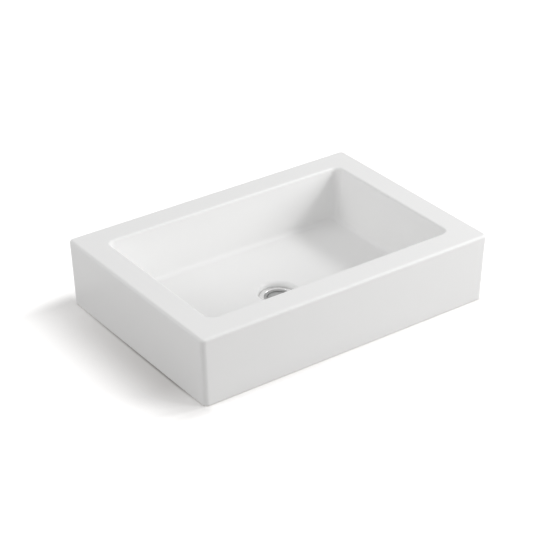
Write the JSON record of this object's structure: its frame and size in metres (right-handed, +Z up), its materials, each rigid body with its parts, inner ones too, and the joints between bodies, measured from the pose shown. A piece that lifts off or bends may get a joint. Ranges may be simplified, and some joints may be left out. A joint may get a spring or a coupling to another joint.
{
  "type": "countertop basin",
  "caption": "Rectangular white ceramic basin with a flat wide rim, open underside and a push-to-open waste whose tail passes through the worktop.",
  "frame": {"origin": "centre of the rectangular foot, in the plane of the worktop, on the axis of the waste", "axes": "+Z up, +X along the long side to the right as seen from the front, +Y to the back"},
  "size_m": [0.5996, 0.4148, 0.189],
  "materials": {
    "glaze": "white gloss glaze, bare ground foot",
    "polished_chrome": "polished chrome plate on brass",
    "brushed_cap": "finely turned and brushed",
    "raw_brass": "turned, uncoated",
    "cartridge_brass": "turned, uncoated",
    "seal_rubber": "matt black",
    "white_nylon": "natural, slightly translucent",
    "acetal": "moulded white acetal",
    "spring_steel": "drawn stainless wire"
  },
  "bodies": {
    "root": {"ceramic_basin": "glaze", "flange_seal": "seal_rubber", "waste_body": "polished_chrome", "under_seal": "seal_rubber", "slip_washer": "white_nylon", "backnut": "raw_brass", "cartridge_housing": "cartridge_brass", "plunger_seal": "seal_rubber", "cartridge_spring": "spring_steel", "cartridge_end_plug": "cartridge_brass"},
    "plug": {"plug_cap": "brushed_cap", "plug_seal": "seal_rubber", "cap_locknut": "raw_brass", "plunger": "acetal"},
    "rotor": {"latch_rotor": "acetal"}
  },
  "joints": [
    {"name": "plug_slide", "type": "slide", "parent": "root", "child": "plug", "axis": [0, 0, 1], "range_m": [0, 0.008], "deforming": ["cartridge_spring"]},
    {"name": "rotor_turn", "type": "hinge", "parent": "plug", "child": "rotor", "pos_m": [0, 0, -0.0294], "axis": [0, 0, 1], "range_deg": [0, 45]}
  ],
  "couplings": [
    {"joint": "rotor_turn", "follows": "plug_slide", "rad_per_m": 98.17}
  ]
}
